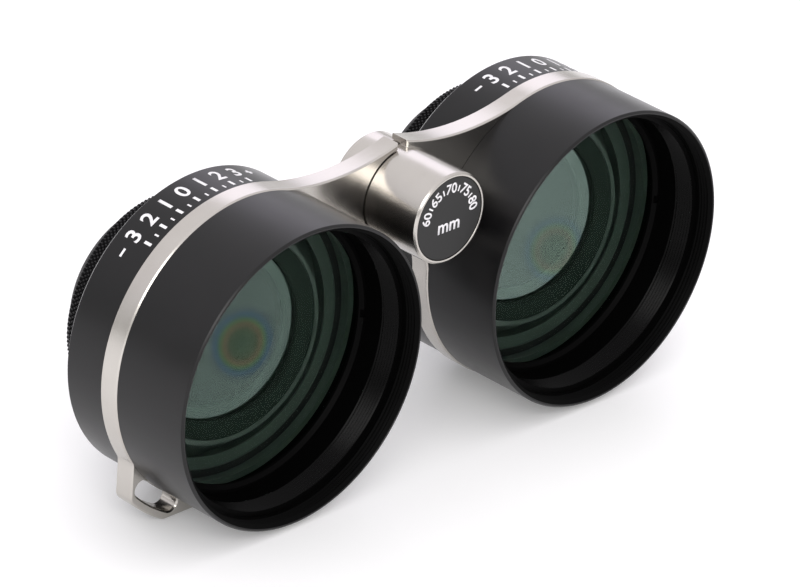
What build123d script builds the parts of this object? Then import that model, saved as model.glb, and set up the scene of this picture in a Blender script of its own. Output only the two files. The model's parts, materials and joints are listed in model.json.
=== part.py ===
"""Wide-field astronomy binoculars with 54 mm objectives, as separate pieces.

The barrel axes run along Y: the objectives face -Y, the eyepieces face +Y, and Z is up.
Sides are the user's own: looking through the eyepieces, the right half is at -X.
A station is a distance along a barrel, in mm, measured from the objective rim towards the eye.
The origin is under the middle of the object, on the surface that the two strap-loop feet stand on.
"""
from build123d import *
from math import atan2, cos, degrees, hypot, radians, sin, sqrt
import os

os.makedirs("parts", exist_ok=True)

# ---- driving dimensions (mm) ----
half_spread = 39.3            # barrel axis to the middle plane, as the object stands
hinge_rise = 19.0             # hinge axis above the barrel axes
foot_drop = 31.1              # barrel axes above the flat feet
total_length = 45.2

# ---- clearances and edges ----
running_gap = 0.05            # radial clearance of a running or screwed fit
seat_gap = 0.02               # axial clearance of a seated piece
small_gap = 0.1               # room at a shoulder that doesn't seat
overrun = 1.0                 # how far a cut runs past the face it starts from
edge_break = 0.4              # chamfer on turned edges
arm_bevel = 0.3               # chamfer around both faces of a bridge arm
cup_edge = 0.3
slot_run = 2.0                # how far a slot's cutter reaches beyond the open face

# ---- objective barrel: stations and radii ----
barrel_radius = 30.0
rim_radius = 29.36
thread_radius = 28.65         # minor radius of the filter thread
thread_end = 3.1
relief_radius = 28.3
bore_radius = 27.4
ridge_start = 3.6             # fine ridges that keep stray light down
ridge_pitch = 0.66
ridge_depth = 0.3
ridge_count = 7
spigot_radius = 28.35
spigot_bore = 25.5
spigot_end = 25.5
band_front = 17.3
band_rear = 21.6
band_radius = 30.2

# ---- objective lenses and their ring ----
lens_radius = 27.0
clear_radius = 26.0
lens_front = 13.7             # edge of the crown lens
crown_edge = 15.7             # edge of the cemented surface
lens_rear = 21.8
cement_gap = 0.01
crown_sphere = 75.0
cement_sphere = 90.0
spacer_end = 22.6
ring_width = 1.6              # axial width of the retaining ring
ring_lip = 0.5                # thickness at its inner edge
ring_flare = 0.7              # how much wider it opens in front
ring_slot_width = 1.6
ring_slot_depth = 0.5

# ---- rear barrel, neck and baffle ----
rear_barrel_radius = 29.75
rear_barrel_end = 31.65
rear_bore_radius = 24.0
rear_bevel = 0.8
rear_wall_front = 30.0
neck_radius = 17.5
neck_end = 39.6
neck_step = 0.8               # step at the neck's end that takes the ring retainer
seal_front = 30.4
seal_length = 0.9
seal_depth = 1.0
baffle_radius = 23.9
baffle_inner = 21.6
baffle_sleeve = 0.6           # wall of the sleeve behind the baffle's lip
baffle_lip = 0.8

# ---- focus ring ----
knurl_radius = 21.6
knurl_front = 31.9
knurl_rear = 40.8
knurl_bevel = 0.6
recess_radius = 19.3          # recess behind the neck's end
retainer_radius = 19.0
cam_depth = 1.1               # cam groove for the guide pin
cam_front = 32.5
cam_rear = 38.3
pin_station = 35.0
pin_radius = 0.8
pin_reach = 0.8               # how far the pin stands into the cam groove
pin_bevel = 0.15
neck_slot_width = 2.1

# ---- eyepiece ----
cell_radius = 14.95
cell_front = 24.0
collar_radius = 18.9          # wide front of the cell, around the field lens
collar_rear = 27.6
cell_flange_front = 41.3
cell_flange_rear = 42.4
cell_rear = 43.5
flange_radius = 16.0
field_lens_radius = 18.0
field_lens_front = 25.0
field_lens_rear = 26.9
field_clear_radius = 14.6
field_ring_bevel = 0.4
field_sphere = 200.0
eye_lens_radius = 13.0
eye_lens_front = 35.0
eye_lens_rear = 41.0
eye_sphere = 45.0
eye_clear_radius = 11.6
spacer_wall = 1.0
eye_ring_width = 1.6
eye_ring_bevel = 0.5
eye_slot_width = 1.2
eye_slot_depth = 0.7
eyecup_radius = 17.0
lip_radius = 14.35
lip_bevel = 1.3
cup_round = 1.0
cup_gap = 0.03

# ---- hinge ----
knuckle_radius = 9.1
knuckle_front = 4.1
knuckle_split = 19.45
knuckle_rear = 26.2
recess_gap = 0.25             # round recess in each web about the other arm's knuckle
washer_thickness = 0.3
washer_gap = 0.01
washer_radius = 8.9
shaft_radius = 4.0
shaft_end = 25.0
bush_radius = 5.2
head_radius = 6.4
head_front = 5.3
head_rear = 7.48
head_bevel = 0.3
head_slot_width = 1.2
head_slot_depth = 1.0
pocket_radius = 7.0
front_pocket_floor = 7.5
rear_pocket_floor = 22.0
disc_radius = 8.3
disc_seat = 1.0               # depth of the seats for the scale disc and the rear cap
disc_gap = 0.12
disc_bevel = 0.15
cap_bevel = 0.25
spring_thickness = 0.4
spring_dish = 0.3
spring_inner = 4.1
spring_outer = 6.3
nut_front = 22.77
nut_rear = 24.7
nut_slot_width = 1.4
nut_slot_depth = 0.8
closing_half_angle = 19.5     # half of the turn from the standing pose to barrels together
top_gap = 1.1                 # half of the notch between the arms, above the hinge

# ---- bridge web and strap loop ----
web_top_radius = 52.0         # concave top edge between band and hinge
web_end_height = 10.5         # top edge above the hinge axis, where it meets the notch
web_under_radius = 11.5       # concave fillet under the web
web_under_angle = 182.0       # where that fillet leaves the band
loop_radius = 35.2            # round back of the strap loop
loop_side = 25.1              # upright side of the loop, outboard of the barrel axis
loop_corner = 2.2
slot_middle_radius = 31.85
slot_width = 3.4
slot_start = 225.6
slot_sweep = 16.0
foot_inner = 7.5              # inner end of the flat foot, outboard of the barrel axis
foot_root_angle = 266.0       # where the foot's inner edge runs into the band
root_depth = 0.5              # how far the loop reaches into the band

axis_height = foot_drop
hinge_height = axis_height + hinge_rise
front_y = -total_length / 2
sides = {"right": -1, "left": 1}


def sag(sphere_radius, radius):
    """Depth of a spherical surface at a given radius."""
    return sphere_radius - sqrt(sphere_radius**2 - radius**2)


def on_circle(centre, radius, angle):
    """Point on a circle, with the angle in degrees."""
    return (centre[0] + radius * cos(radians(angle)), centre[1] + radius * sin(radians(angle)))


def angle_to(start, end):
    """Direction from one point to another, in degrees."""
    return degrees(atan2(end[1] - start[1], end[0] - start[0]))


def cross_plane(station, x=0.0, z=axis_height):
    """Plane across the barrels: local x is +X, local y is +Z, and its normal faces -Y."""
    return Plane(origin=(x, front_y + station, z), x_dir=(1, 0, 0), z_dir=(0, -1, 0))


def turning_axis(x, z=axis_height):
    """Axis along Y."""
    return Axis((x, 0, z), (0, 1, 0))


def turning_plane(x, z=axis_height):
    """Plane through a turning axis, with the radius along local x and the station along local y."""
    return Plane(origin=(x, front_y, z), x_dir=(1, 0, 0), z_dir=(0, 0, 1))


def turned(x, z, points):
    """Outline of (radius, station) points in a plane through the axis at x, z, ready to revolve."""
    with BuildSketch(turning_plane(x, z)) as outline:
        with BuildLine():
            Polyline(*points, close=True)
        make_face()
    return outline.sketch


def tube(x, z, inner, outer, start, end):
    """Outline of a plain ring, or of a disc when inner is 0."""
    return turned(x, z, [(inner, start), (outer, start), (outer, end), (inner, end)])


def lens(x, radius, front_edge, rear_edge, front_sphere, rear_sphere):
    """Half section of a lens. A sphere of positive radius bulges outwards, and 0 is flat."""
    def depth(sphere, at):
        return 0.0 if sphere == 0 else (sphere / abs(sphere)) * sag(abs(sphere), at)

    middle = radius / 2
    front_pole = (0, front_edge - depth(front_sphere, radius))
    rear_pole = (0, rear_edge + depth(rear_sphere, radius))
    front_middle = (middle, front_pole[1] + depth(front_sphere, middle))
    rear_middle = (middle, rear_pole[1] - depth(rear_sphere, middle))
    with BuildSketch(turning_plane(x)) as outline:
        with BuildLine():
            ThreePointArc(front_pole, front_middle, (radius, front_edge))
            Line((radius, front_edge), (radius, rear_edge))
            if rear_sphere == 0:
                Line((radius, rear_edge), rear_pole)
            else:
                ThreePointArc((radius, rear_edge), rear_middle, rear_pole)
            Line(rear_pole, front_pole)
        make_face()
    return outline.sketch


def driver_slot(station, x, z, length, width, depth, facing):
    """A straight slot across a turned face. facing is -1 where the face looks forward."""
    reach = Align.MIN if facing < 0 else Align.MAX
    with Locations(cross_plane(station - facing * depth, x, z).location):
        Box(length, width, slot_run, align=(Align.CENTER, Align.CENTER, reach), mode=Mode.SUBTRACT)


def finish_piece(part, name):
    """Label a finished piece and write it to its own file."""
    part.label = name
    export_step(part, f"parts/{name}.step")


def web_outline(outward):
    """The web between band and hinge: concave above and below, and cut straight at the notch."""
    ring = (half_spread, 0)
    hinge = (0, hinge_rise)
    corner = (top_gap, hinge_rise + web_end_height)
    # centre of the top edge's arc, which touches the band and ends at the notch's corner
    span = hypot(ring[0] - corner[0], ring[1] - corner[1])
    ring_reach = web_top_radius + band_radius
    along = (span**2 + web_top_radius**2 - ring_reach**2) / (2 * span)
    swing = degrees(atan2(sqrt(web_top_radius**2 - along**2), along))
    top_centre = on_circle(corner, web_top_radius, angle_to(corner, ring) + swing)
    touch = on_circle(ring, band_radius, angle_to(ring, top_centre))
    top_middle_angle = (angle_to(top_centre, corner) + angle_to(top_centre, ring)) / 2
    # the fillet below ends on the closing stop, a line down from the hinge axis
    under_centre = on_circle(ring, band_radius + web_under_radius, web_under_angle)
    stop_angle = closing_half_angle - 90
    toward = radians(angle_to(hinge, under_centre) - stop_angle)
    distance = hypot(under_centre[0] - hinge[0], under_centre[1] - hinge[1])
    reach = distance * cos(toward) - sqrt(web_under_radius**2 - (distance * sin(toward))**2)
    meet = on_circle(hinge, reach, stop_angle)
    leave = on_circle(ring, band_radius, web_under_angle)
    under_middle_angle = (angle_to(under_centre, leave) + angle_to(under_centre, meet)) / 2

    def place(point):
        return (outward * point[0], point[1])

    with BuildSketch() as outline:
        with BuildLine():
            ThreePointArc(place(corner),
                          place(on_circle(top_centre, web_top_radius, top_middle_angle)),
                          place(touch))
            Line(place(touch), place(ring))
            Line(place(ring), place(leave))
            ThreePointArc(place(leave),
                          place(on_circle(under_centre, web_under_radius, under_middle_angle)),
                          place(meet))
            Line(place(meet), place(hinge))
            Line(place(hinge), place((top_gap, hinge_rise)))
            Line(place((top_gap, hinge_rise)), place(corner))
        make_face()
    return outline.sketch


def loop_outline(outward):
    """The strap loop outside the band: an upright side, a round back and a flat foot."""
    side_top = (-loop_side, overrun - sqrt(band_radius**2 - loop_side**2))
    side_low = (-loop_side, -sqrt(loop_radius**2 - loop_side**2))
    foot_outer = (-sqrt(loop_radius**2 - foot_drop**2), -foot_drop)
    foot_end = (-foot_inner, -foot_drop)
    foot_root = on_circle((0, 0), band_radius - root_depth, foot_root_angle)
    back_middle = (angle_to((0, 0), side_low) + angle_to((0, 0), foot_outer)) / 2

    def place(point):
        return (outward * (half_spread - point[0]), point[1])

    with BuildSketch() as outline:
        with BuildLine():
            Line(place(side_top), place(side_low))
            ThreePointArc(place(side_low),
                          place(on_circle((0, 0), loop_radius, back_middle)),
                          place(foot_outer))
            Line(place(foot_outer), place(foot_end))
            Line(place(foot_end), place(foot_root))
            Line(place(foot_root), place(side_top))
        make_face()
        corners = [outline.vertices().sort_by_distance(place(point))[0]
                   for point in (foot_outer, side_low)]
        fillet(corners, radius=loop_corner)
    return outline.sketch


def slot_outline(outward):
    """The strap slot, curved along the band."""
    mirrored_start = 540 - slot_start - slot_sweep
    with BuildSketch() as outline:
        with BuildLine(mode=Mode.PRIVATE) as middle:
            CenterArc((outward * half_spread, 0), slot_middle_radius,
                      slot_start if outward < 0 else mirrored_start, slot_sweep)
        SlotArc(middle.edges()[0], slot_width)
    return outline.sketch


def arm_outline(outward):
    """Outline of a whole bridge arm without its bores: band, web and loop."""
    loop_top = (outward * (half_spread + loop_side), -sqrt(band_radius**2 - loop_side**2))
    with BuildSketch(cross_plane(band_rear)) as outline:
        with Locations((outward * half_spread, 0)):
            Circle(band_radius)
        add(web_outline(outward))
        add(loop_outline(outward))
        fillet(outline.vertices().sort_by_distance(loop_top)[0], radius=loop_corner)
        add(slot_outline(outward), mode=Mode.SUBTRACT)
    return outline.sketch


# each knuckle runs from its outer face to the washer, and has a seat, a pocket and a bore in it
split_front = knuckle_split - washer_thickness / 2
split_rear = knuckle_split + washer_thickness / 2
knuckles = {
    "left": {"face": knuckle_front, "split": split_front, "pocket": front_pocket_floor,
             "bore": shaft_radius + running_gap, "recess": (split_front, band_rear + overrun)},
    "right": {"face": knuckle_rear, "split": split_rear, "pocket": rear_pocket_floor,
              "bore": bush_radius + running_gap, "recess": (band_front - overrun, split_rear)},
}
hinge_axis = turning_axis(0, hinge_height)

# ======== one barrel, made for each side ========
for side, outward in sides.items():
    axis_x = outward * half_spread
    barrel_axis = turning_axis(axis_x)

    # ---- bridge arm: band, web, strap loop and hinge knuckle in one casting ----
    knuckle = knuckles[side]
    face = knuckle["face"]
    split = knuckle["split"]
    inward = 1 if face < split else -1
    recess_start, recess_end = knuckle["recess"]
    with BuildPart() as bridge_arm:
        extrude(arm_outline(outward), amount=band_rear - band_front)
        by_station = bridge_arm.faces().sort_by(Axis.Y)
        chamfer(by_station[0].edges() + by_station[-1].edges(), arm_bevel)
        revolve(tube(axis_x, axis_height, 0, spigot_radius + running_gap,
                     band_front - overrun, band_rear + overrun),
                axis=barrel_axis, mode=Mode.SUBTRACT)
        revolve(tube(0, hinge_height, 0, knuckle_radius + recess_gap, recess_start, recess_end),
                axis=hinge_axis, mode=Mode.SUBTRACT)
        revolve(turned(0, hinge_height, [
            (0, face), (knuckle_radius - edge_break, face), (knuckle_radius, face + inward * edge_break),
            (knuckle_radius, split), (0, split)]),
            axis=hinge_axis)
        seat_radius = disc_radius + running_gap
        seat = face + inward * disc_seat
        revolve(turned(0, hinge_height, [
            (0, face - inward), (seat_radius, face - inward), (seat_radius, seat), (pocket_radius, seat),
            (pocket_radius, knuckle["pocket"]), (knuckle["bore"], knuckle["pocket"]),
            (knuckle["bore"], split + inward), (0, split + inward)]),
            axis=hinge_axis, mode=Mode.SUBTRACT)
    finish_piece(bridge_arm.part, f"{side}_bridge_arm")

    # ---- objective barrel: filter thread, baffle ridges, lens seat and screwed spigot ----
    ridges = []
    for i in range(ridge_count):
        valley = ridge_start + i * ridge_pitch
        ridges += [(bore_radius + ridge_depth, valley), (bore_radius, valley + ridge_pitch / 2)]
    ridge_end = ridge_start + ridge_count * ridge_pitch
    with BuildPart() as objective_barrel:
        revolve(turned(axis_x, axis_height, [
            (rim_radius, 0), (barrel_radius - edge_break, 0), (barrel_radius, edge_break),
            (barrel_radius, band_front), (spigot_radius, band_front), (spigot_radius, spigot_end),
            (spigot_bore, spigot_end), (spigot_bore, spacer_end),
            (lens_radius + running_gap, spacer_end), (lens_radius + running_gap, lens_front),
            (bore_radius, lens_front), (bore_radius, ridge_end), (bore_radius + ridge_depth, ridge_end),
            *reversed(ridges),
            (relief_radius, ridge_start), (relief_radius, thread_end),
            (thread_radius, thread_end), (thread_radius, rim_radius - thread_radius)]),
            axis=barrel_axis)
    finish_piece(objective_barrel.part, f"{side}_objective_barrel")

    # ---- objective: a cemented crown and flint pair, held by a ring screwed in from the front ----
    with BuildPart() as crown_lens:
        revolve(lens(axis_x, lens_radius, lens_front, crown_edge, crown_sphere, cement_sphere),
                axis=barrel_axis)
    finish_piece(crown_lens.part, f"{side}_objective_crown_lens")

    with BuildPart() as flint_lens:
        revolve(lens(axis_x, lens_radius, crown_edge + cement_gap, lens_rear, -cement_sphere, 0),
                axis=barrel_axis)
    finish_piece(flint_lens.part, f"{side}_objective_flint_lens")

    ring_front = lens_front - ring_width
    ring_rear = lens_front - seat_gap
    ring_inner_rear = ring_rear - sag(crown_sphere, lens_radius) + sag(crown_sphere, clear_radius)
    with BuildPart() as objective_ring:
        revolve(turned(axis_x, axis_height, [
            (clear_radius + ring_flare, ring_front), (bore_radius - running_gap, ring_front),
            (bore_radius - running_gap, ring_rear), (lens_radius, ring_rear),
            (clear_radius, ring_inner_rear), (clear_radius, ring_inner_rear - ring_lip)]),
            axis=barrel_axis)
        driver_slot(ring_front, axis_x, axis_height, 2 * bore_radius, ring_slot_width,
                    ring_slot_depth, -1)
    finish_piece(objective_ring.part, f"{side}_objective_retaining_ring")

    with BuildPart() as objective_spacer:
        revolve(tube(axis_x, axis_height, spigot_bore, lens_radius, lens_rear + seat_gap, spacer_end),
                axis=barrel_axis)
    finish_piece(objective_spacer.part, f"{side}_objective_spacer")

    # ---- rear barrel: shell, rear wall and the neck that carries the focus ring ----
    neck_bore = cell_radius + running_gap
    step_radius = neck_radius - neck_step
    step_start = neck_end - neck_step
    with BuildPart() as rear_barrel:
        revolve(turned(axis_x, axis_height, [
            (spigot_radius + running_gap, band_rear), (rear_barrel_radius, band_rear),
            (rear_barrel_radius, rear_barrel_end - rear_bevel),
            (rear_barrel_radius - rear_bevel, rear_barrel_end), (neck_radius, rear_barrel_end),
            (neck_radius, step_start), (step_radius, step_start), (step_radius, neck_end),
            (neck_bore, neck_end), (neck_bore, rear_wall_front), (rear_bore_radius, rear_wall_front),
            (rear_bore_radius, spigot_end + small_gap),
            (spigot_radius + running_gap, spigot_end + small_gap)]),
            axis=barrel_axis)
        # straight slot in the neck for the guide pin
        with Locations(cross_plane(rear_barrel_end, axis_x).location):
            Box(neck_slot_width, neck_radius + overrun, neck_end - rear_barrel_end + overrun,
                align=(Align.CENTER, Align.MIN, Align.MAX), mode=Mode.SUBTRACT)
        revolve(tube(axis_x, axis_height, neck_bore - overrun, neck_bore + seal_depth,
                     seal_front, seal_front + seal_length),
                axis=barrel_axis, mode=Mode.SUBTRACT)
    finish_piece(rear_barrel.part, f"{side}_rear_barrel")

    baffle_front = spigot_end + 2 * small_gap
    baffle_rear = rear_wall_front - small_gap
    sleeve_inner = baffle_radius - baffle_sleeve
    with BuildPart() as baffle:
        revolve(turned(axis_x, axis_height, [
            (baffle_inner, baffle_front), (baffle_radius, baffle_front), (baffle_radius, baffle_rear),
            (sleeve_inner, baffle_rear), (sleeve_inner, baffle_front + baffle_lip),
            (baffle_inner + edge_break, baffle_front + baffle_lip)]),
            axis=barrel_axis)
    finish_piece(baffle.part, f"{side}_baffle_ring")

    # ---- focus ring: knurled outside, with the cam groove for the guide pin inside ----
    ring_bore = neck_radius + running_gap
    with BuildPart() as focus_ring:
        revolve(turned(axis_x, axis_height, [
            (ring_bore, knurl_front), (knurl_radius - knurl_bevel, knurl_front),
            (knurl_radius, knurl_front + knurl_bevel), (knurl_radius, knurl_rear - knurl_bevel),
            (knurl_radius - knurl_bevel, knurl_rear), (recess_radius, knurl_rear),
            (recess_radius, step_start), (ring_bore, step_start), (ring_bore, cam_rear),
            (neck_radius + cam_depth, cam_rear), (neck_radius + cam_depth, cam_front),
            (ring_bore, cam_front)]),
            axis=barrel_axis)
    finish_piece(focus_ring.part, f"{side}_focus_ring")

    with BuildPart() as ring_retainer:
        revolve(tube(axis_x, axis_height, step_radius + running_gap, retainer_radius,
                     step_start + running_gap, neck_end), axis=barrel_axis)
    finish_piece(ring_retainer.part, f"{side}_focus_ring_retainer")

    with BuildPart() as grease_seal:
        revolve(tube(axis_x, axis_height, neck_bore + seat_gap, neck_bore + seal_depth - running_gap,
                     seal_front + running_gap, seal_front + seal_length - running_gap),
                axis=barrel_axis)
    finish_piece(grease_seal.part, f"{side}_grease_seal")

    # ---- eyepiece: a cell that slides in the neck, with a wide field lens and the eye lens ----
    eye_bore = eye_lens_radius + running_gap
    collar_bore = field_lens_radius + running_gap
    pin_foot = (axis_x, front_y + pin_station, axis_height + eye_bore + cup_edge)
    pin_length = neck_radius + pin_reach - eye_bore - cup_edge
    with BuildPart() as eyepiece_cell:
        revolve(turned(axis_x, axis_height, [
            (collar_bore, cell_front), (collar_radius, cell_front), (collar_radius, collar_rear),
            (cell_radius, collar_rear), (cell_radius, cell_flange_front),
            (flange_radius, cell_flange_front), (flange_radius, cell_flange_rear),
            (lip_radius - running_gap, cell_flange_rear), (lip_radius - running_gap, cell_rear),
            (eye_bore, cell_rear), (eye_bore, field_lens_rear), (collar_bore, field_lens_rear)]),
            axis=barrel_axis)
        with Locations(Location(pin_foot)):
            Cylinder(pin_radius + seat_gap, 2 * pin_length, mode=Mode.SUBTRACT,
                     align=(Align.CENTER, Align.CENTER, Align.MIN))
    finish_piece(eyepiece_cell.part, f"{side}_eyepiece_cell")

    with BuildPart() as guide_pin:
        with Locations(Location(pin_foot) * Location((0, 0, seat_gap))):
            Cylinder(pin_radius, pin_length, align=(Align.CENTER, Align.CENTER, Align.MIN))
        chamfer(guide_pin.edges().filter_by(GeomType.CIRCLE), pin_bevel)
    finish_piece(guide_pin.part, f"{side}_guide_pin")

    with BuildPart() as field_lens:
        revolve(lens(axis_x, field_lens_radius, field_lens_front, field_lens_rear - seat_gap,
                     -field_sphere, 0), axis=barrel_axis)
    finish_piece(field_lens.part, f"{side}_field_lens")

    field_ring_front = cell_front + small_gap
    field_ring_rear = field_lens_front - seat_gap
    with BuildPart() as field_ring:
        revolve(turned(axis_x, axis_height, [
            (field_clear_radius + field_ring_bevel, field_ring_front),
            (field_lens_radius, field_ring_front), (field_lens_radius, field_ring_rear),
            (field_clear_radius, field_ring_rear),
            (field_clear_radius, field_ring_front + field_ring_bevel)]),
            axis=barrel_axis)
    finish_piece(field_ring.part, f"{side}_field_lens_ring")

    with BuildPart() as lens_spacer:
        revolve(tube(axis_x, axis_height, eye_lens_radius - spacer_wall, eye_lens_radius,
                     field_lens_rear, eye_lens_front - seat_gap), axis=barrel_axis)
    finish_piece(lens_spacer.part, f"{side}_eyepiece_spacer")

    with BuildPart() as eye_lens:
        revolve(lens(axis_x, eye_lens_radius, eye_lens_front, eye_lens_rear, -eye_sphere, -eye_sphere),
                axis=barrel_axis)
    finish_piece(eye_lens.part, f"{side}_eye_lens")

    eye_ring_rear = eye_lens_rear + eye_ring_width
    with BuildPart() as eyepiece_ring:
        revolve(turned(axis_x, axis_height, [
            (eye_clear_radius, eye_lens_rear + seat_gap), (eye_lens_radius, eye_lens_rear + seat_gap),
            (eye_lens_radius, eye_ring_rear), (eye_clear_radius + eye_ring_bevel, eye_ring_rear),
            (eye_clear_radius, eye_ring_rear - eye_ring_bevel)]),
            axis=barrel_axis)
        driver_slot(eye_ring_rear, axis_x, axis_height, 2 * lip_radius, eye_slot_width,
                    eye_slot_depth, 1)
    finish_piece(eyepiece_ring.part, f"{side}_eyepiece_retaining_ring")

    cup_bore = flange_radius + cup_gap
    with BuildPart() as eyecup:
        revolve(turned(axis_x, axis_height, [
            (cup_bore, cell_flange_front), (eyecup_radius - cup_edge, cell_flange_front),
            (eyecup_radius, cell_flange_front + cup_edge), (eyecup_radius, total_length - cup_round),
            (eyecup_radius - cup_edge, total_length - cup_edge), (eyecup_radius - cup_round, total_length),
            (lip_radius + lip_bevel, total_length), (lip_radius, total_length - lip_bevel),
            (lip_radius, cell_flange_rear + cup_gap), (cup_bore, cell_flange_rear + cup_gap)]),
            axis=barrel_axis)
    finish_piece(eyecup.part, f"{side}_eyecup")


# ======== hinge fittings ========
with BuildPart() as hinge_shaft:
    revolve(turned(0, hinge_height, [
        (0, head_front), (head_radius - head_bevel, head_front), (head_radius, head_front + head_bevel),
        (head_radius, head_rear), (shaft_radius, head_rear), (shaft_radius, shaft_end - edge_break),
        (shaft_radius - edge_break, shaft_end), (0, shaft_end)]),
        axis=hinge_axis)
    driver_slot(head_front, 0, hinge_height, 2 * pocket_radius, head_slot_width, head_slot_depth, -1)
finish_piece(hinge_shaft.part, "hinge_shaft")

with BuildPart() as hinge_bush:
    revolve(tube(0, hinge_height, shaft_radius + running_gap, bush_radius,
                 split_rear + seat_gap, rear_pocket_floor - seat_gap), axis=hinge_axis)
finish_piece(hinge_bush.part, "hinge_bush")

with BuildPart() as friction_washer:
    revolve(tube(0, hinge_height, shaft_radius + running_gap, washer_radius,
                 split_front + washer_gap, split_rear - washer_gap), axis=hinge_axis)
finish_piece(friction_washer.part, "hinge_friction_washer")

spring_front = rear_pocket_floor + running_gap
with BuildPart() as spring_washer:
    revolve(turned(0, hinge_height, [
        (spring_inner, spring_front + spring_dish), (spring_outer, spring_front),
        (spring_outer, spring_front + spring_thickness),
        (spring_inner, spring_front + spring_dish + spring_thickness)]),
        axis=hinge_axis)
finish_piece(spring_washer.part, "hinge_spring_washer")

with BuildPart() as tension_nut:
    revolve(tube(0, hinge_height, shaft_radius + seat_gap, head_radius, nut_front, nut_rear),
            axis=hinge_axis)
    driver_slot(nut_rear, 0, hinge_height, 2 * pocket_radius, nut_slot_width, nut_slot_depth, 1)
finish_piece(tension_nut.part, "hinge_tension_nut")

disc_front = knuckle_front + disc_gap
disc_rear = knuckle_front + disc_seat - seat_gap
with BuildPart() as scale_disc:
    revolve(turned(0, hinge_height, [
        (0, disc_front), (disc_radius - disc_bevel, disc_front), (disc_radius, disc_front + disc_bevel),
        (disc_radius, disc_rear), (0, disc_rear)]),
        axis=hinge_axis)
finish_piece(scale_disc.part, "hinge_scale_disc")

cap_front = knuckle_rear - disc_seat + seat_gap
with BuildPart() as rear_cap:
    revolve(turned(0, hinge_height, [
        (0, cap_front), (disc_radius, cap_front), (disc_radius, knuckle_rear - cap_bevel),
        (disc_radius - cap_bevel, knuckle_rear), (0, knuckle_rear)]),
        axis=hinge_axis)
finish_piece(rear_cap.part, "hinge_rear_cap")
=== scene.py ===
"""Looks of the astronomy binoculars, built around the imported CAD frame.

Lengths along a barrel and radii are in millimetres, as on a drawing, and MM turns them into metres.
A station is the distance along a barrel from its objective rim towards the eye.
Sides are the user's own: the right half is at -X.
"""
import bpy
import bmesh
import json
from math import cos, hypot, inf, pi, radians, sin, sqrt
from mathutils import Matrix, Vector


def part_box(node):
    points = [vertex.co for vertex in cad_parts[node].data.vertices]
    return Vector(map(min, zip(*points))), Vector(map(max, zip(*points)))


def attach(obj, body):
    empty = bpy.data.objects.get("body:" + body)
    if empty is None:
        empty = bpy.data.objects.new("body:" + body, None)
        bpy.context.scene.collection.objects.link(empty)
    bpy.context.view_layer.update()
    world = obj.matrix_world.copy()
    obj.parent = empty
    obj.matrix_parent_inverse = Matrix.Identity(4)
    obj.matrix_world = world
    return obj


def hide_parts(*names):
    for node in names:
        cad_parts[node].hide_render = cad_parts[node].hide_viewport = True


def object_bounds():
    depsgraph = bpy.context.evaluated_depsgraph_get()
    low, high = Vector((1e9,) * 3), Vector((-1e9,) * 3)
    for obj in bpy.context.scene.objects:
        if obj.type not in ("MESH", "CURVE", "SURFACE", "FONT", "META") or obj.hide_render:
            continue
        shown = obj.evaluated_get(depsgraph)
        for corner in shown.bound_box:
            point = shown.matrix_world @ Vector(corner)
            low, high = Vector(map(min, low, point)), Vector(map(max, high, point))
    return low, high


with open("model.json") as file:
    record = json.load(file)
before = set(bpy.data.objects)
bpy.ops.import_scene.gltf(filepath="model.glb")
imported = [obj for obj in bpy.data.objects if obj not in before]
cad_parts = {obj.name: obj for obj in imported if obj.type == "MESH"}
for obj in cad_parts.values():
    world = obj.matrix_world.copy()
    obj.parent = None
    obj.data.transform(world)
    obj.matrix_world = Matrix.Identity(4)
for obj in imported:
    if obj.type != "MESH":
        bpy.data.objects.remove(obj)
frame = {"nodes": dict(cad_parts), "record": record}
cad_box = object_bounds()
MM = 0.001

# ======== sizes (mm), as in the CAD where it has them ========
front_y = cad_box[0].y
sides = {"right": -1, "left": 1}


def barrel_axis(side):
    """The x and z of a barrel's axis, from the box of its objective barrel."""
    low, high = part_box(f"{side}_objective_barrel")
    return ((low.x + high.x) / 2, (low.z + high.z) / 2)


def hinge_axis():
    """The x and z of the hinge, from the box of its shaft."""
    low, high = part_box("hinge_shaft")
    return ((low.x + high.x) / 2, (low.z + high.z) / 2)


barrel_radius = 30.0
rim_radius = 29.36
rim_bevel = 0.35
thread_crest = 28.65
thread_valley = 29.06
thread_pitch = 0.75
thread_front = 0.75
thread_rear = 3.05
relief_radius = 28.3
inner_edge = 29.2             # everything inside the thread's valleys is flat black
ridge_front = 3.6
ridge_rear = 8.22
ridge_pitch = 0.66
ridge_crest = 27.42
ridge_valley = 27.72
bore_radius = 27.4
lens_front = 13.7
lens_radius = 27.0
seat_radius = 27.05
spacer_end = 22.6
spigot_radius = 28.35
spigot_bore = 25.5
spigot_end = 25.5
band_front = 17.3
band_rear = 21.6
rear_radius = 29.75
rear_end = 31.65
rear_bevel = 0.8
rear_bore = 24.0
rear_wall = 30.0
neck_radius = 17.5
neck_end = 39.6
neck_step = 0.8
neck_bore = 15.0
knurl_radius = 21.6
knurl_depth = 0.42
knurl_front = 31.9
knurl_rear = 40.8
knurl_bevel = 0.6
knurl_around = 150            # diamonds in one turn
knurl_rows = 14               # half diamonds along the ring
knurl_top = 0.42              # flat top of a diamond, as a share of its width
knurl_recess = 19.3           # counterbore in the ring's rear, around the eyecup
shoulder_drop = 0.05          # the ring's end faces stop this far below its bevels
fit_gap = 0.05                # between turned pieces that fit in each other
end_gap = 0.1                 # behind a spigot's end
coat_margin = 0.1             # a coat reaches this far past a bore's radius
crown_sphere = 75.0
flint_rear = 21.8
field_radius = 18.0
field_front = 25.0
field_rear = 26.88
field_sphere = 200.0
eye_radius = 13.0
eye_front = 35.0
eye_rear = 41.0
eye_sphere = 45.0


# ======== mesh helpers ========
def link(name, mesh):
    """A new object for a mesh, linked to the scene."""
    piece = bpy.data.objects.new(name, mesh)
    bpy.context.scene.collection.objects.link(piece)
    return piece


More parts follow.
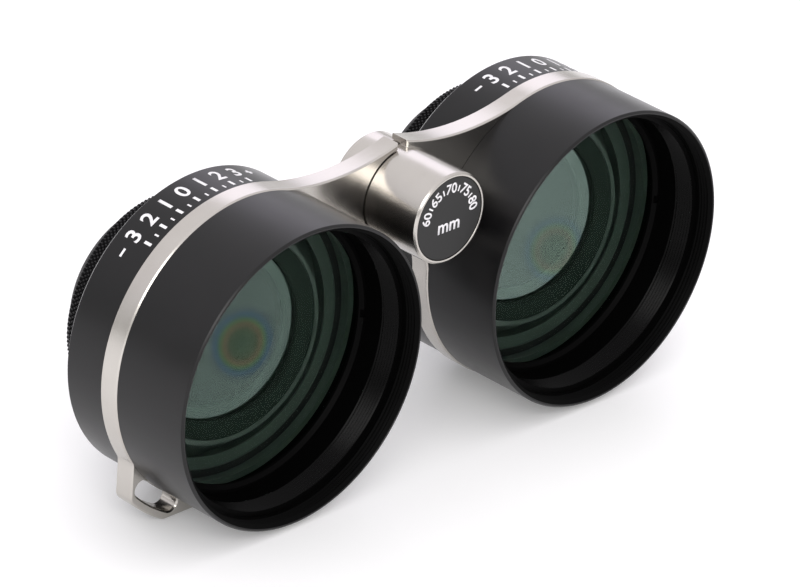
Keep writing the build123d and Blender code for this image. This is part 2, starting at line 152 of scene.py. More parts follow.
def smooth_by_area(piece, angle=radians(40)):
    """Smooth shading, sharp past an angle, with the larger faces deciding the normals."""
    mesh = piece.data
    bm = bmesh.new()
    bm.from_mesh(mesh)
    for edge in bm.edges:
        edge.smooth = len(edge.link_faces) == 2 and edge.calc_face_angle(0.0) < angle
    for face in bm.faces:
        face.smooth = True
    bm.to_mesh(mesh)
    bm.free()
    weighted = piece.modifiers.new("weighted_normals", "WEIGHTED_NORMAL")
    weighted.keep_sharp = True
    weighted.weight = 80


def ring_point(axis, radius, station, angle):
    """A point in the row frame, from a radius and a station in mm and an angle about the axis."""
    x = axis[0] + radius * MM * cos(angle)
    z = axis[1] + radius * MM * sin(angle)
    return (x, front_y + station * MM, z)


def rounded(outline, radius, steps=3):
    """A closed outline of (radius, station) corners, with its corners turned into small arcs.

    Corners on the axis and nearly straight ones stay as they are.
    """
    flattest = radians(165)
    longest_cut = 0.45            # of the side that it shortens
    points = []
    count = len(outline)
    for i, corner in enumerate(outline):
        before = Vector(outline[i - 1]) - Vector(corner)
        after = Vector(outline[(i + 1) % count]) - Vector(corner)
        turn = before.angle(after)
        if corner[0] < radius or turn > flattest:
            points.append(tuple(corner))
            continue
        cut = min(radius, longest_cut * before.length, longest_cut * after.length)
        start = Vector(corner) + before.normalized() * cut
        end = Vector(corner) + after.normalized() * cut
        for k in range(steps + 1):
            t = k / steps
            bend = start * (1 - t) ** 2 + Vector(corner) * 2 * t * (1 - t) + end * t ** 2
            points.append((bend.x, bend.y))
    return points


def lathe_into(bm, axis, outline, segments, closed=True):
    """Turns an outline of (radius, station) points about an axis along Y."""
    rows = []
    for radius, station in outline:
        if radius == 0:
            rows.append([bm.verts.new(ring_point(axis, 0, station, 0))])
        else:
            rows.append([bm.verts.new(ring_point(axis, radius, station, 2 * pi * j / segments))
                         for j in range(segments)])
    pairs = list(zip(rows, rows[1:])) + ([(rows[-1], rows[0])] if closed else [])
    for one, other in pairs:
        for j in range(segments):
            k = (j + 1) % segments
            corners = [one[j % len(one)], one[k % len(one)], other[k % len(other)], other[j % len(other)]]
            corners = list(dict.fromkeys(corners))      # at a pole two of them are the same
            if len(corners) > 2:
                bm.faces.new(corners)
    return rows


def thread_into(bm, axis, start, end, pitch, flank, base_radius, segments, per_pitch=6):
    """A helical thread between two stations, from flank(t), its radius over one pitch, t from 0 to 1.

    It fades into the base radius over half a pitch at each end.
    """
    turns = int((end - start) / pitch) + 2
    count = turns * per_pitch
    columns = []
    for j in range(segments):
        column = []
        for i in range(count + per_pitch):
            station = start + (i / per_pitch + j / segments - 1) * pitch
            inside = min(max(station, start), end)
            fade = min(1.0, (inside - start) / (0.5 * pitch), (end - inside) / (0.5 * pitch))
            radius = base_radius + (flank(i % per_pitch / per_pitch) - base_radius) * fade
            column.append(bm.verts.new(ring_point(axis, radius, inside, 2 * pi * j / segments)))
        columns.append(column)
    for j in range(segments):
        mine = columns[j]
        other = columns[j + 1] if j < segments - 1 else columns[0][per_pitch:]
        for i in range(count - 1):
            bm.faces.new((mine[i], mine[i + 1], other[i + 1], other[i]))


def groove(crest, valley):
    """The radius over one pitch of a V groove, from its crest to its valley and back."""
    return lambda t: crest + (valley - crest) * (1 - abs(2 * t - 1))


def finished(bm, name, weld=2e-7):
    """Welds what meets, drops empty faces, points the normals outward and makes the object."""
    bmesh.ops.remove_doubles(bm, verts=bm.verts, dist=weld)
    bmesh.ops.dissolve_degenerate(bm, dist=weld, edges=bm.edges)
    loose = [v for v in bm.verts if not v.link_faces]
    bmesh.ops.delete(bm, geom=loose, context="VERTS")
    bmesh.ops.recalc_face_normals(bm, faces=bm.faces)
    mesh = bpy.data.meshes.new(name)
    bm.to_mesh(mesh)
    bm.free()
    return link(name, mesh)


def lathe(name, axis, outline, segments=192, round_by=0.0):
    """A turned piece, with its corners slightly rounded."""
    bm = bmesh.new()
    lathe_into(bm, axis, rounded(outline, round_by) if round_by else outline, segments)
    piece = finished(bm, name)
    smooth_by_area(piece)
    return piece


# ======== materials ========
class Nodes:
    """Short calls for a material's node tree."""

    def __init__(self, name):
        self.material = bpy.data.materials.new(name)
        self.material.use_nodes = True
        self.tree = self.material.node_tree
        self.shader = self.tree.nodes["Principled BSDF"]
        self.place = self.add("ShaderNodeTexCoord").outputs["Object"]

    def add(self, kind, **settings):
        node = self.tree.nodes.new(kind)
        for key, value in settings.items():
            setattr(node, key, value)
        return node

    def join(self, source, target):
        self.tree.links.new(source, target)

    def set(self, **values):
        """Uniform numbers and colours, on the shader's own sockets."""
        for key, value in values.items():
            self.shader.inputs[key.replace("_", " ")].default_value = value

    def noise(self, scale, detail=4.0, roughness=0.55, stretch=None):
        """A noise field in the piece's own space, from 0 to 1."""
        node = self.add("ShaderNodeTexNoise")
        node.inputs["Scale"].default_value = scale
        node.inputs["Detail"].default_value = detail
        node.inputs["Roughness"].default_value = roughness
        source = self.place
        if stretch:
            mapping = self.add("ShaderNodeMapping")
            mapping.inputs["Scale"].default_value = stretch
            self.join(self.place, mapping.inputs["Vector"])
            source = mapping.outputs["Vector"]
        self.join(source, node.inputs["Vector"])
        return node.outputs["Fac"]

    def spread(self, source, low, high, start=0.3, end=0.7):
        """A field from start to end mapped to low to high."""
        node = self.add("ShaderNodeMapRange")
        node.inputs["From Min"].default_value = start
        node.inputs["From Max"].default_value = end
        node.inputs["To Min"].default_value = low
        node.inputs["To Max"].default_value = high
        self.join(source, node.inputs["Value"])
        return node.outputs["Result"]

    def colours(self, source, stops):
        """A colour ramp over a field, from (place, colour) pairs."""
        node = self.add("ShaderNodeValToRGB")
        ramp = node.color_ramp
        while len(ramp.elements) < len(stops):
            ramp.elements.new(0.5)
        for element, (at, colour) in zip(ramp.elements, stops):
            element.position = at
            element.color = (*colour, 1.0)
        self.join(source, node.inputs["Fac"])
        return node.outputs["Color"]

    def bump(self, *layers):
        """Bump from (field, strength, distance in mm) layers, coarse first."""
        normal = None
        for field, strength, distance in layers:
            node = self.add("ShaderNodeBump")
            node.inputs["Strength"].default_value = strength
            node.inputs["Distance"].default_value = distance * MM
            self.join(field, node.inputs["Height"])
            if normal:
                self.join(normal, node.inputs["Normal"])
            normal = node.outputs["Normal"]
        self.join(normal, self.shader.inputs["Normal"])


def blasted_nickel():
    """Fine-blasted casting with a satin nickel plate."""
    n = Nodes("satin_nickel")
    cloud = n.noise(110, detail=4)
    grain = n.noise(8000, detail=2)
    n.join(n.colours(cloud, [(0.3, (0.505, 0.480, 0.446)), (0.7, (0.545, 0.522, 0.488))]),
           n.shader.inputs["Base Color"])
    n.join(n.spread(cloud, 0.19, 0.25), n.shader.inputs["Roughness"])
    n.set(Metallic=1.0)
    n.bump((cloud, 0.04, 0.05), (grain, 0.07, 0.012))
    return n.material


def black_anodised(name="black_anodised", rough=0.30, tone=0.005):
    """Satin black anodised aluminium."""
    n = Nodes(name)
    cloud = n.noise(140, detail=3)
    grain = n.noise(7000, detail=2)
    low = (tone * 0.9, tone * 0.88, tone * 0.95)
    high = (tone * 1.15, tone * 1.1, tone * 1.2)
    n.join(n.colours(cloud, [(0.3, low), (0.7, high)]), n.shader.inputs["Base Color"])
    n.join(n.spread(cloud, rough - 0.02, rough + 0.03), n.shader.inputs["Roughness"])
    n.set(IOR=1.37)
    n.bump((grain, 0.1, 0.01))
    return n.material


def flat_black(name, rough, tone, level=0.5, grain_size=5000, relief=0.2, tint=(1.0, 1.0, 1.0)):
    """Flat black plastic or paint."""
    n = Nodes(name)
    grain = n.noise(grain_size, detail=3)
    # A tint other than white is a painted reflection: the green cast that coated lenses in front of the paint
    # give.
    low = tuple(tone * 0.8 * c for c in tint)
    high = tuple(tone * 1.3 * c for c in tint)
    n.join(n.colours(grain, [(0.3, low), (0.7, high)]), n.shader.inputs["Base Color"])
    n.join(n.spread(grain, rough - 0.05, rough + 0.05), n.shader.inputs["Roughness"])
    n.set(Specular_IOR_Level=level)
    n.bump((grain, relief, 0.01))
    return n.material


def soft_rubber():
    """Moulded black rubber with a fine matte grain."""
    n = Nodes("soft_rubber")
    cloud = n.noise(300, detail=4)
    grain = n.noise(4200, detail=3)
    n.join(n.colours(cloud, [(0.3, (0.010, 0.010, 0.011)), (0.7, (0.018, 0.0175, 0.018))]),
           n.shader.inputs["Base Color"])
    n.join(n.spread(grain, 0.5, 0.66), n.shader.inputs["Roughness"])
    n.set(Sheen_Weight=0.1, Sheen_Roughness=0.5)
    n.bump((cloud, 0.2, 0.05), (grain, 0.35, 0.02))
    return n.material


def turned_metal(name, colour, rough):
    """Turned bright metal with fine marks."""
    n = Nodes(name)
    marks = n.noise(900, detail=3, stretch=(1.0, 12.0, 1.0))
    n.join(n.colours(marks, [(0.3, tuple(c * 0.85 for c in colour)), (0.7, colour)]),
           n.shader.inputs["Base Color"])
    n.join(n.spread(marks, rough - 0.06, rough + 0.08), n.shader.inputs["Roughness"])
    n.set(Metallic=1.0)
    n.bump((marks, 0.1, 0.01))
    return n.material


def white_ink():
    """Silk-screened white ink."""
    n = Nodes("white_ink")
    grain = n.noise(2600, detail=4)
    n.join(n.colours(grain, [(0.3, (0.74, 0.73, 0.75)), (0.7, (0.84, 0.83, 0.85))]),
           n.shader.inputs["Base Color"])
    n.join(n.spread(grain, 0.45, 0.6), n.shader.inputs["Roughness"])
    n.bump((grain, 0.2, 0.01))
    return n.material


def glass(name, mirror=0.0, colour=(0.95, 0.985, 0.965), shine=(0.72, 1.0, 0.85), rough=0.0):
    """Polished glass whose coating mirrors only a small share of the light."""
    n = Nodes(name)
    haze = n.noise(60, detail=2)
    clear = n.add("ShaderNodeBsdfRefraction")
    clear.inputs["IOR"].default_value = 1.5
    clear.inputs["Roughness"].default_value = 0.0
    n.join(n.colours(haze, [(0.3, tuple(c * 0.985 for c in colour)), (0.7, colour)]),
           clear.inputs["Color"])
    n.gloss = n.add("ShaderNodeBsdfGlossy")
    n.gloss.inputs["Roughness"].default_value = rough
    n.join(n.colours(haze, [(0.3, tuple(c * 0.94 for c in shine)), (0.7, shine)]),
           n.gloss.inputs["Color"])
    both = n.add("ShaderNodeMixShader")
    both.inputs["Fac"].default_value = mirror
    n.join(clear.outputs["BSDF"], both.inputs[1])
    n.join(n.gloss.outputs["BSDF"], both.inputs[2])
    n.join(both.outputs["Shader"], n.tree.nodes["Material Output"].inputs["Surface"])
    n.tree.nodes.remove(n.shader)
    return n


def ringed_glass(name, centre, reach, share, mirror, lean):
    """A lens with Newton's rings around a point, out to a reach in mm. lean tips what it mirrors."""
    n = glass(name, mirror, colour=(0.6, 0.7, 0.64))
    distance = n.add("ShaderNodeVectorMath", operation="DISTANCE")
    n.join(n.place, distance.inputs[0])
    distance.inputs[1].default_value = centre
    out = n.spread(distance.outputs["Value"], 0.0, 1.0, 0.0, reach * MM)
    plain = (0.80, 0.95, 0.92)
    bands = [(0.0, (0.46, 0.62, 0.48)), (0.36, (0.50, 0.62, 0.44)), (0.50, (0.95, 0.68, 0.50)),
             (0.60, (0.60, 0.92, 0.50)), (0.74, (0.45, 0.66, 1.0)), (0.88, (0.72, 0.85, 0.86))]
    mixed = [(at, tuple(t + (c - t) * share for c, t in zip(colour, plain))) for at, colour in bands]
    n.join(n.colours(out, mixed + [(1.0, plain)]), n.gloss.inputs["Color"])
    tipped = n.add("ShaderNodeVectorMath", operation="ADD")
    n.join(n.add("ShaderNodeNewGeometry").outputs["Normal"], tipped.inputs[0])
    tipped.inputs[1].default_value = lean
    unit = n.add("ShaderNodeVectorMath", operation="NORMALIZE")
    n.join(tipped.outputs["Vector"], unit.inputs[0])
    n.join(unit.outputs["Vector"], n.gloss.inputs["Normal"])
    return n.material


def floor_white():
    """White light-table top, faintly lit from below."""
    n = Nodes("white_table")
    cloud = n.noise(6, detail=3)
    n.join(n.colours(cloud, [(0.3, (0.87, 0.87, 0.875)), (0.7, (0.89, 0.89, 0.89))]),
           n.shader.inputs["Base Color"])
    n.join(n.spread(cloud, 0.55, 0.65), n.shader.inputs["Roughness"])
    n.set(Emission_Color=(1.0, 1.0, 1.0, 1.0), Emission_Strength=0.16)
    n.bump((n.noise(1500, detail=3), 0.1, 0.02))
    return n.material


materials = {
    "satin_nickel": blasted_nickel(),
    "black_anodised": black_anodised(),
    "knurled_black": black_anodised("knurled_black", rough=0.38, tone=0.009),
    "black_plastic": flat_black("black_plastic", rough=0.45, tone=0.03, level=0.4),
    "soft_rubber": soft_rubber(),
    "felt_seal": flat_black("felt_seal", rough=0.9, tone=0.06, grain_size=2500),
    "bright_steel": turned_metal("bright_steel", (0.62, 0.62, 0.63), 0.28),
    "bronze": turned_metal("bronze", (0.60, 0.40, 0.20), 0.3),
    "white_polymer": flat_black("white_polymer", rough=0.5, tone=0.75),
    "black_enamel": flat_black("black_enamel", rough=0.5, tone=0.014, level=0.35),
    "coated_glass": glass("coated_glass", mirror=0.008, rough=0.5).material,
    "optical_glass": glass("optical_glass").material,
}
ink = white_ink()
eye_glass = glass("eye_glass", mirror=0.03).material
bore_black = flat_black("bore_black", rough=0.5, tone=0.001, level=0.04)
ridge_black = flat_black("ridge_black", rough=0.26, tone=0.0012, level=0.07)
# The green tint of these inner paints, and the raised tone of the dull one, is a painted reflection: the
# green cast of the coated lenses in front.
inner_paint_green_cast = {"grain_size": 7000, "relief": 0.05, "tint": (0.7, 1.0, 0.82)}
baffle_paint_green_cast = flat_black("baffle_paint_green_cast", rough=0.4, tone=0.05, **inner_paint_green_cast)
dull_paint_green_cast = flat_black("dull_paint_green_cast", rough=0.7, tone=0.018, level=0.0, **inner_paint_green_cast)


def paint(piece, material):
    """Gives a piece one material."""
    piece.data.materials.clear()
    piece.data.materials.append(material)


slot_of = {part["node"]: part["material_slot"] for part in frame["record"]["subparts"]}
# Pieces seen through the lenses get black paint with a painted reflection, the green cast of the coated
# lenses.
painted_inside = ("eyepiece_cell", "baffle_ring", "objective_spacer")
dull_green_cast_inside = ("field_lens_ring", "eyepiece_spacer")
for node, piece in frame["nodes"].items():
    paint(piece, materials[slot_of[node]])
    if node.endswith("objective_retaining_ring"):
        paint(piece, bore_black)
    if node.endswith(painted_inside):
        paint(piece, baffle_paint_green_cast)
    if node.endswith(dull_green_cast_inside):
        paint(piece, dull_paint_green_cast)


def stand_for(piece, node, body, material):
    """piece takes a CAD node's place, body and material."""
    paint(piece, material)
    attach(piece, body)
    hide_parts(node)


# ======== pieces ========
def softened(node, width=0.06, segments=2):
    """A copy of a CAD node with its edges slightly rounded, as a blasted casting's are."""
    source = frame["nodes"][node]
    bm = bmesh.new()
    bm.from_mesh(source.data)
    bmesh.ops.remove_doubles(bm, verts=bm.verts, dist=1e-6)
    bmesh.ops.dissolve_limit(bm, angle_limit=radians(0.5), verts=bm.verts, edges=bm.edges)
    mesh = bpy.data.meshes.new(node + "_casting")
    bm.to_mesh(mesh)
    bm.free()
    piece = link(node + "_casting", mesh)
    bevel = piece.modifiers.new("edge_round", "BEVEL")
    bevel.width = width * MM
    bevel.segments = segments
    bevel.limit_method = "ANGLE"
    bevel.angle_limit = radians(30)
    bevel.harden_normals = False
    smooth_by_area(piece)
    return piece


def objective_barrel(side):
    """Outer barrel with a real filter thread and the fine ridges behind it."""
    axis = barrel_axis(side)
    segments = 240
    outline = rounded([(rim_radius, 0.0), (barrel_radius - rim_bevel, 0.0), (barrel_radius, rim_bevel),
                       (barrel_radius, band_front), (spigot_radius, band_front),
                       (spigot_radius, spigot_end), (spigot_bore, spigot_end),
                       (spigot_bore, spacer_end), (seat_radius, spacer_end),
                       (seat_radius, lens_front), (bore_radius, lens_front)], 0.08)
    bm = bmesh.new()
    lathe_into(bm, axis, outline + [(bore_radius, ridge_rear)], segments, closed=False)
    lathe_into(bm, axis, [(bore_radius, ridge_front), (relief_radius, ridge_front),
                          (relief_radius, thread_rear), (thread_crest, thread_rear)],
               segments, closed=False)
    lathe_into(bm, axis, [(thread_crest, thread_front), outline[0]], segments, closed=False)
    thread_into(bm, axis, thread_front, thread_rear, thread_pitch,
                groove(thread_crest, thread_valley), thread_crest, segments)
    thread_into(bm, axis, ridge_front, ridge_rear, ridge_pitch,
                groove(ridge_crest, ridge_valley), bore_radius, segments, per_pitch=4)
    piece = finished(bm, f"{side}_objective_barrel_shell")
    smooth_by_area(piece)
    return piece


def coat_inside(piece, side, radius, coat, start=0.0, end=inf):
    """Gives a turned shell's faces inside a radius, and between two stations, another coat."""
    axis = barrel_axis(side)
    piece.data.materials.append(coat)
    index = len(piece.data.materials) - 1
    for face in piece.data.polygons:
        reach = hypot(face.center.x - axis[0], face.center.z - axis[1])
        station = (face.center.y - front_y) / MM
        if reach < radius * MM and start < station < end:
            face.material_index = index


def coat_rear(piece):
    """Gives a lens's edge and rear faces glass that mirrors nothing."""
    front_limit = -0.5            # a front face's normal has a y below this
    piece.data.materials.append(materials["optical_glass"])
    for face in piece.data.polygons:
        if face.normal.y > front_limit:
            face.material_index = 1


def rear_barrel(side):
    """Rear shell with its neck."""
    return lathe(f"{side}_rear_barrel_shell", barrel_axis(side), [
        (spigot_radius + fit_gap, band_rear), (rear_radius, band_rear),
        (rear_radius, rear_end - rear_bevel), (rear_radius - rear_bevel, rear_end),
        (neck_radius, rear_end), (neck_radius, neck_end - neck_step),
        (neck_radius - neck_step, neck_end - neck_step), (neck_radius - neck_step, neck_end),
        (neck_bore, neck_end), (neck_bore, rear_wall), (rear_bore, rear_wall),
        (rear_bore, spigot_end + end_gap), (spigot_radius + fit_gap, spigot_end + end_gap)], 240, 0.07)


def focus_ring(side):
    """Ring with a cut diamond knurl: each diamond is a flat-topped pyramid, halved at the ring's ends."""
    axis = barrel_axis(side)
    bm = bmesh.new()
    start = knurl_front + knurl_bevel
    end = knurl_rear - knurl_bevel
    valley = knurl_radius - knurl_depth
    columns = 2 * knurl_around
    row_step = (end - start) / knurl_rows
    grid = {}

    def valley_vert(i, j):
        key = (i % columns, j)
        if key not in grid:
            angle = 2 * pi * (i % columns) / columns
            grid[key] = bm.verts.new(ring_point(axis, valley, start + j * row_step, angle))
        return grid[key]

    for middle in range(knurl_rows + 1):
        for i in range(columns):
            if (i + middle) % 2 == 0:
                continue
            around = [(i, middle - 1), (i + 1, middle), (i, middle + 1), (i - 1, middle)]
            corners = [(column, row) for column, row in around if 0 <= row <= knurl_rows]
            top = []
            for column, row in corners:
                station = start + (middle + (row - middle) * knurl_top) * row_step
                angle = 2 * pi * (i + (column - i) * knurl_top) / columns
                top.append(bm.verts.new(ring_point(axis, knurl_radius, station, angle)))
            base = [valley_vert(*corner) for corner in corners]
            count = len(base)
            for k in range(count):
                m = (k + 1) % count
                bm.faces.new((base[k], base[m], top[m], top[k]))
            bm.faces.new(top)
    shoulder = knurl_radius - knurl_bevel - shoulder_drop
    bore = neck_radius + fit_gap
    step = neck_end - neck_step
    body = [(valley, start), (shoulder, knurl_front), (bore, knurl_front), (bore, step),
            (knurl_recess, step), (knurl_recess, knurl_rear), (shoulder, knurl_rear), (valley, end)]
    lathe_into(bm, axis, body, 240, closed=False)
    piece = finished(bm, f"{side}_focus_ring_knurled")
    smooth_by_area(piece, radians(25))
    return piece


def sag(sphere, radius):
    """How deep a sphere's cap is at a radius."""
    return sphere - sqrt(sphere**2 - radius**2)


def lens_outline(radius, front_edge, rear_edge, front_sphere, rear_sphere, steps=28):
    """Half section of a lens. A positive sphere bulges outwards, and 0 is flat."""
    def depth(sphere, at):
        return 0.0 if sphere == 0 else (sphere / abs(sphere)) * sag(abs(sphere), at)

    reach = [radius * sin(pi / 2 * k / steps) for k in range(steps + 1)]
    front_pole = front_edge - depth(front_sphere, radius)
    rear_pole = rear_edge + depth(rear_sphere, radius)
    front = [(r, front_pole + depth(front_sphere, r)) for r in reach]
    rear = [(r, rear_pole - depth(rear_sphere, r)) for r in reversed(reach)]
    return front + rear


def lens(name, side, *shape):
    """A lens on a barrel's axis. shape is what lens_outline takes."""
    bm = bmesh.new()
    lathe_into(bm, barrel_axis(side), lens_outline(*shape), 192, closed=False)
    piece = finished(bm, name, weld=5e-8)
    smooth_by_area(piece)
    return piece


# ---- wrapped markings ----
ink_lift = 0.005              # keeps the back of the ink off the surface that it lies on


def digits(text, height):
    """Flat mesh of generic scale figures, centred, with its height in mm."""
    curve = bpy.data.curves.new("figure", "FONT")
    curve.body = text
    curve.align_x = "CENTER"
    curve.align_y = "CENTER"
    curve.size = 1.0
    curve.offset = 0.02           # slightly bold
    holder = link("figure", curve)
    bpy.context.view_layer.update()
    mesh = bpy.data.meshes.new_from_object(holder)
    bpy.data.objects.remove(holder)
    bm = bmesh.new()
    bm.from_mesh(mesh)
    tall = max(v.co.y for v in bm.verts) - min(v.co.y for v in bm.verts)
    for v in bm.verts:
        v.co *= height / tall
    bpy.data.meshes.remove(mesh)
    return bm


def bar(width, height, shift=0.0):
    """Flat tick, centred on x and shifted along y, in mm."""
    bm = bmesh.new()
    corners = [bm.verts.new((x * width / 2, shift + y * height / 2, 0))
               for x, y in ((-1, -1), (1, -1), (1, 1), (-1, 1))]
    bm.faces.new(corners)
    return bm


def printed(name, marks, place, step=0.7, thickness=0.02):
    """Joins flat marks given as (bmesh, offset) and bends them with place(x, y, rise).

    They are first cut across every step mm, so that they can follow a curve.
    """
    joined = bmesh.new()
    for bm, offset in marks:
        bmesh.ops.translate(bm, verts=bm.verts, vec=(offset[0], offset[1], 0))
        mesh = bpy.data.meshes.new("mark")
        bm.to_mesh(mesh)
        bm.free()
        joined.from_mesh(mesh)
        bpy.data.meshes.remove(mesh)
    low = min(v.co.x for v in joined.verts)
    high = max(v.co.x for v in joined.verts)
    cut = low + step
    while cut < high:
        bmesh.ops.bisect_plane(joined, geom=joined.verts[:] + joined.edges[:] + joined.faces[:],
                               plane_co=(cut, 0, 0), plane_no=(1, 0, 0))
        cut += step
    bmesh.ops.triangulate(joined, faces=joined.faces)
    faces = bmesh.ops.extrude_face_region(joined, geom=joined.faces[:])
    raised = [v for v in faces["geom"] if isinstance(v, bmesh.types.BMVert)]
    for v in raised:
        v.co.z += thickness
    for v in joined.verts:
        v.co = Vector(place(v.co.x, v.co.y, v.co.z))
    return finished(joined, name, weld=1e-8)


def barrel_scale(side):
    """Focus scale on top of the rear barrel: figures over ticks, with - and + at its ends."""
    axis = barrel_axis(side)
    middle = radians(90 - 13 * sides[side])
    spacing = 4.3
    figure_line = 1.0             # where the figures, long ticks and short ticks are centred, towards the eye
    long_line = -2.6
    short_line = -2.95
    sign_length = 1.7
    sign_width = 0.5
    figures = ["3", "2", "1", "0", "1", "2", "3"]
    half_count = len(figures) // 2
    marks = []
    for k, figure in enumerate(figures):
        x = (k - half_count) * spacing
        marks.append((digits(figure, 3.5), (x, figure_line)))
        marks.append((bar(0.6, 1.7), (x, long_line)))
    for k in range(len(figures) - 1):
        marks.append((bar(0.35, 1.0), ((k + 0.5 - half_count) * spacing, short_line)))
    sign = (half_count + 0.85) * spacing
    marks.append((bar(sign_length, sign_width), (-sign, figure_line)))
    marks.append((bar(sign_length, sign_width), (sign, figure_line)))
    marks.append((bar(sign_width, sign_length), (sign, figure_line)))
    station_middle = (band_rear + rear_end - rear_bevel) / 2

    def place(x, y, rise):
        return ring_point(axis, rear_radius + ink_lift + rise, station_middle + y, middle - x / rear_radius)

    piece = printed(f"{side}_focus_scale", marks, place)
    paint(piece, ink)
    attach(piece, f"{side}_half")


def hinge_scale():
    """Eye-spacing scale on the hinge disc: figures around its upper edge, ticks between, and the unit."""
    axis = hinge_axis()
    face = (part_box("hinge_scale_disc")[0].y - front_y) / MM
    middle_radius = 6.0
    unit_height = -1.4            # the unit stands below the axis

    def disc_mark(name, flat, turn, radius):
        across = Vector((sin(turn), -cos(turn)))
        out = Vector((cos(turn), sin(turn)))

        def place(x, y, rise):
            spot = out * (radius + y) + across * x
            return (axis[0] + spot.x * MM, front_y + (face - ink_lift - rise) * MM, axis[1] + spot.y * MM)

        piece = printed(name, [(flat, (0, 0))], place)
        paint(piece, ink)
        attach(piece, "left_half")

    figures = ["60", "65", "70", "75", "80"]
    step = radians(38)
    start = radians(90) + step * (len(figures) - 1) / 2
    for k, figure in enumerate(figures):
        disc_mark(f"hinge_figure_{figure}", digits(figure, 2.1), start - k * step, middle_radius)
    for k in range(len(figures) - 1):
        disc_mark(f"hinge_tick_{k + 1}", bar(0.3, 1.2), start - (k + 0.5) * step, middle_radius)
    disc_mark("hinge_unit", digits("mm", 1.9), radians(90), unit_height)


# ---- put the pieces in place ----
# Newton's rings on a field lens: mm across and up from its axis, reach in mm, depth of colour, mirror share
ring_spots = {"right": (5.0, -3.3, 6.5, 1.1, 0.10), "left": (7.2, -7.5, 6.5, 0.5, 0.14)}
# added to the normal of what a field lens mirrors, so that it shows the white table
lens_lean = {"right": (-0.03, 0.0, 0.02), "left": (-0.055, 0.0, 0.038)}
ring_depth = 0.6              # the rings' centre is this far behind the lens's front edge
for side in sides:
    half = f"{side}_half"
    axis = barrel_axis(side)
    stand_for(softened(f"{side}_bridge_arm"), f"{side}_bridge_arm", half, materials["satin_nickel"])
    shell = objective_barrel(side)
    stand_for(shell, f"{side}_objective_barrel", half, materials["black_anodised"])
    coat_inside(shell, side, inner_edge, bore_black)
    coat_inside(shell, side, relief_radius, ridge_black, ridge_front, ridge_rear)
    # Behind the lens, the baffle paint carries the painted green cast of the coated lens's reflection.
    coat_inside(shell, side, seat_radius + coat_margin, baffle_paint_green_cast, lens_front + 1)
    shell = rear_barrel(side)
    stand_for(shell, f"{side}_rear_barrel", half, materials["black_anodised"])
    # Inside the rear barrel, the baffle paint carries the painted green cast of the coated lens's reflection.
    coat_inside(shell, side, rear_bore + coat_margin, baffle_paint_green_cast, end=rear_wall + 1)
    stand_for(focus_ring(side), f"{side}_focus_ring", f"{side}_focus", materials["knurled_black"])
    doublet = lens(f"{side}_objective_glass", side, lens_radius, lens_front, flint_rear, crown_sphere, 0)
    stand_for(doublet, f"{side}_objective_crown_lens", half, materials["coated_glass"])
    coat_rear(doublet)
    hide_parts(f"{side}_objective_flint_lens")
    across, up, reach, share, mirror = ring_spots[side]
    spot = (axis[0] + across * MM, front_y + (field_front + ring_depth) * MM, axis[1] + up * MM)
    field = lens(f"{side}_field_glass", side, field_radius, field_front, field_rear, -field_sphere, 0)
    stand_for(field, f"{side}_field_lens", f"{side}_eyepiece",
              ringed_glass(f"field_glass_{side}", spot, reach, share, mirror, lens_lean[side]))
    coat_rear(field)
    eye = lens(f"{side}_eye_glass", side, eye_radius, eye_front, eye_rear, -eye_sphere, -eye_sphere)
    stand_for(eye, f"{side}_eye_lens", f"{side}_eyepiece", eye_glass)
    barrel_scale(side)

hinge_scale()


# ======== floor, light and camera ========
def make_floor():
    """The table top, 80 m across, so that its edge stays at the horizon."""
    bm = bmesh.new()
    reach = 40.0
    bmesh.ops.create_grid(bm, x_segments=8, y_segments=8, size=reach)
    mesh = bpy.data.meshes.new("floor")
    bm.to_mesh(mesh)
    bm.free()
    floor = link("floor", mesh)
    paint(floor, floor_white())


def make_light(name, place, aim, size, watts, colour):
    """A softbox at a place, turned towards aim, with its width and height in metres."""
    data = bpy.data.lights.new(name, "AREA")
    data.shape = "RECTANGLE"
    data.size, data.size_y = size
    data.energy = watts
    data.color = colour
    light = link(name, data)
    light.location = place
    light.rotation_euler = (Vector(aim) - Vector(place)).to_track_quat("-Z", "Y").to_euler()


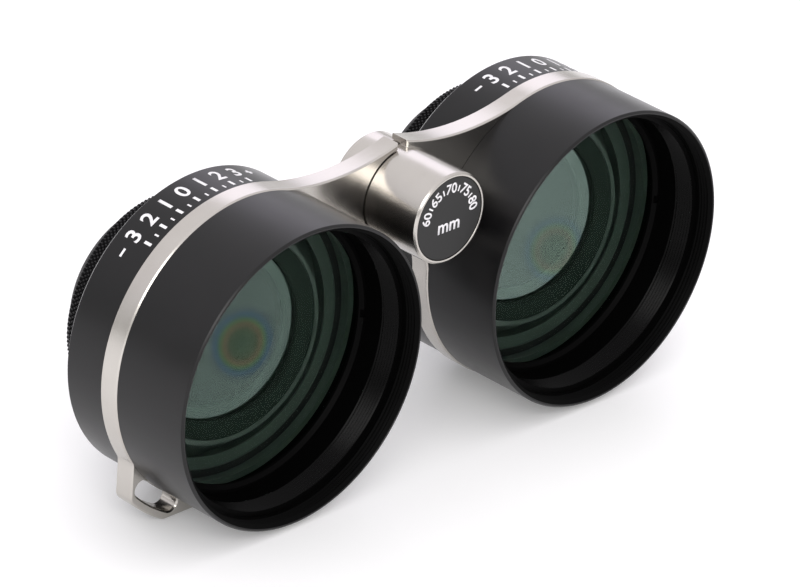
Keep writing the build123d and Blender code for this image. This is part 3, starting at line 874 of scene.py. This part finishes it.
def make_world():
    """A white studio: brightest overhead, dimmer low on the walls, with a pale strip at floor level."""
    world = bpy.data.worlds.new("studio")
    world.use_nodes = True
    bpy.context.scene.world = world
    tree = world.node_tree
    place = tree.nodes.new("ShaderNodeTexCoord")
    split = tree.nodes.new("ShaderNodeSeparateXYZ")
    tree.links.new(place.outputs["Generated"], split.inputs["Vector"])
    shades = tree.nodes.new("ShaderNodeValToRGB")
    stops = [(0.0, (0.95, 0.95, 0.95)), (0.07, (0.54, 0.535, 0.53)), (0.25, (0.68, 0.67, 0.68)),
             (0.5, (0.88, 0.86, 0.89)), (1.0, (1.0, 0.98, 1.0))]
    while len(shades.color_ramp.elements) < len(stops):
        shades.color_ramp.elements.new(0.5)
    for element, (at, colour) in zip(shades.color_ramp.elements, stops):
        element.position = at
        element.color = (*colour, 1.0)
    tree.links.new(split.outputs["Z"], shades.inputs["Fac"])
    back = tree.nodes["Background"]
    tree.links.new(shades.outputs["Color"], back.inputs["Color"])
    back.inputs["Strength"].default_value = 1.17


def make_camera():
    """The view is down on the front right of the object, through a long lens."""
    azimuth = radians(-46.347)
    elevation = radians(27.032)
    roll = radians(4.252)
    distance = 1.2279
    target = Vector((-0.001747, -0.008964, 0.031261))
    back = Vector((sin(azimuth) * cos(elevation), -cos(azimuth) * cos(elevation), sin(elevation)))
    right = Vector((cos(azimuth), sin(azimuth), 0))
    up = back.cross(right)
    turned_right = right * cos(roll) + up * sin(roll)
    turned_up = up * cos(roll) - right * sin(roll)
    data = bpy.data.cameras.new("camera")
    data.sensor_width = 36
    data.lens = 297.87
    data.clip_start = 0.05
    camera = link("camera", data)
    turn = Matrix((turned_right, turned_up, back)).transposed()
    camera.matrix_world = Matrix.Translation(target + back * distance) @ turn.to_4x4()
    bpy.context.scene.camera = camera


make_floor()
make_world()
object_middle = (0, 0, 0.03)
make_light("back_softbox", (0.85, 0.85, 0.65), object_middle, (1.0, 0.6), 1.6, (1.0, 0.94, 1.12))
make_light("front_softbox", (-0.9, -0.85, 0.8), object_middle, (1.1, 0.7), 9.5, (1.0, 0.99, 0.97))
make_camera()

scene = bpy.context.scene
scene.view_settings.view_transform = "Standard"
scene.cycles.use_denoising = True
scene.cycles.max_bounces = 24
scene.cycles.transmission_bounces = 20
scene.cycles.glossy_bounces = 8
scene.cycles.caustics_refractive = True
scene.cycles.caustics_reflective = False
